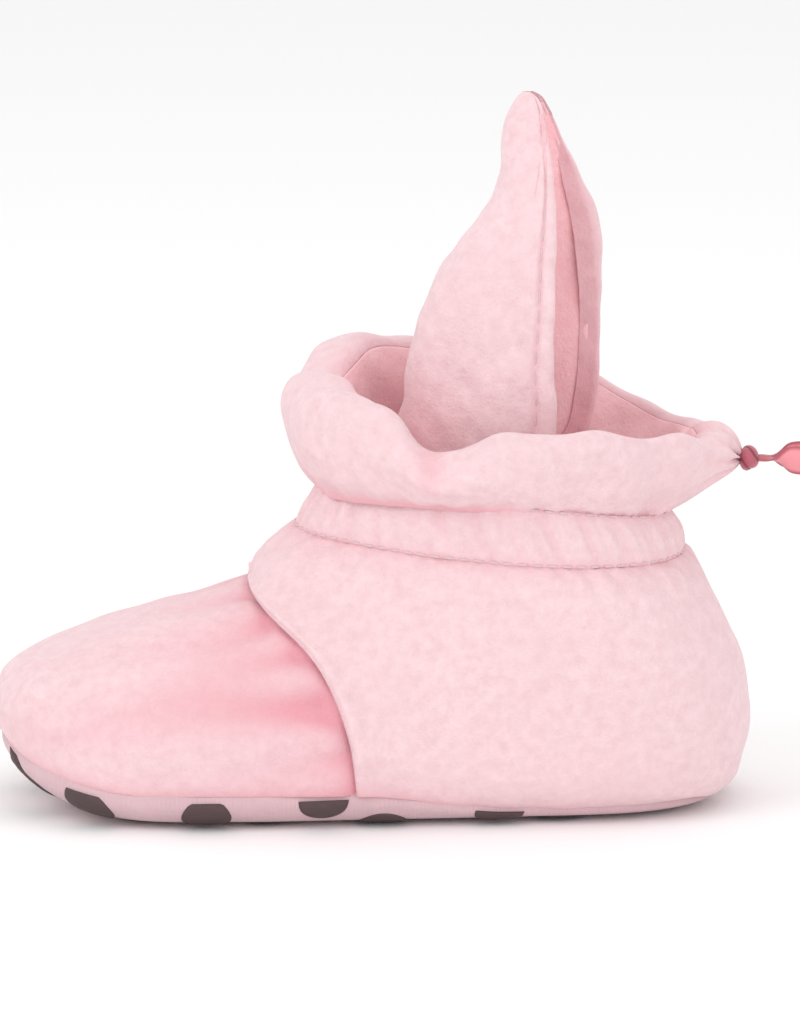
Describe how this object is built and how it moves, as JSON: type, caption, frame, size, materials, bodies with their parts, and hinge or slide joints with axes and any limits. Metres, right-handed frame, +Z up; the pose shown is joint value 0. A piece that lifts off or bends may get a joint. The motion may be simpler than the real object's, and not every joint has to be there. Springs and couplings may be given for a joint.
{
  "type": "baby bootie",
  "caption": "Soft pink fleece ankle bootie with grip dots under the sole, a gathered ankle band, a puffy cuff drawn with a red ribbon, and a tall folded tongue.",
  "frame": {"origin": "on the floor, under the middle of the bootie's length and width, the ribbon left out", "axes": "+Z up, -X towards the toe, +X towards the heel, -Y towards the wearer's left side"},
  "size_m": [0.1407, 0.0582, 0.1124],
  "materials": {
    "fleece": "brushed fleece",
    "fleece_lining": "brushed fleece, deeper inside",
    "sole_fabric": "dense knitted fabric",
    "grip_rubber": "matte printed rubber",
    "satin_ribbon": "satin",
    "elastic": "woven elastic",
    "foam": "soft open foam",
    "tape": "cotton twill"
  },
  "bodies": {
    "shoe": {"vamp": "fleece", "quarter_left": "fleece", "quarter_right": "fleece", "vamp_lining": "fleece_lining", "quarter_lining_left": "fleece_lining", "quarter_lining_right": "fleece_lining", "ankle_band": "fleece", "ankle_elastic": "elastic", "band_lining": "fleece_lining", "outsole": "sole_fabric", "midsole_foam": "foam", "insole": "fleece_lining", "grip_dots": "grip_rubber", "cuff_outer": "fleece", "cuff_facing": "fleece_lining", "channel_ribbon": "satin_ribbon", "throat_tape": "tape", "heel_tape": "tape"},
    "tongue": {"tongue_outer": "fleece", "tongue_inner": "fleece_lining", "tongue_binding": "fleece", "tongue_seam_roll": "fleece_lining"},
    "drawstring": {"ribbon_strands": "satin_ribbon", "ribbon_knot": "satin_ribbon", "ribbon_loop": "satin_ribbon"}
  },
  "joints": [
    {"name": "tongue_tilt", "type": "hinge", "parent": "shoe", "child": "tongue", "pos_m": [-0.0114, 0, 0.036], "axis": [0, 1, 0], "range_deg": [-6, 12]},
    {"name": "ribbon_pull", "type": "slide", "parent": "shoe", "child": "drawstring", "axis": [1, 0, 0], "range_m": [0, 0.0055]}
  ]
}
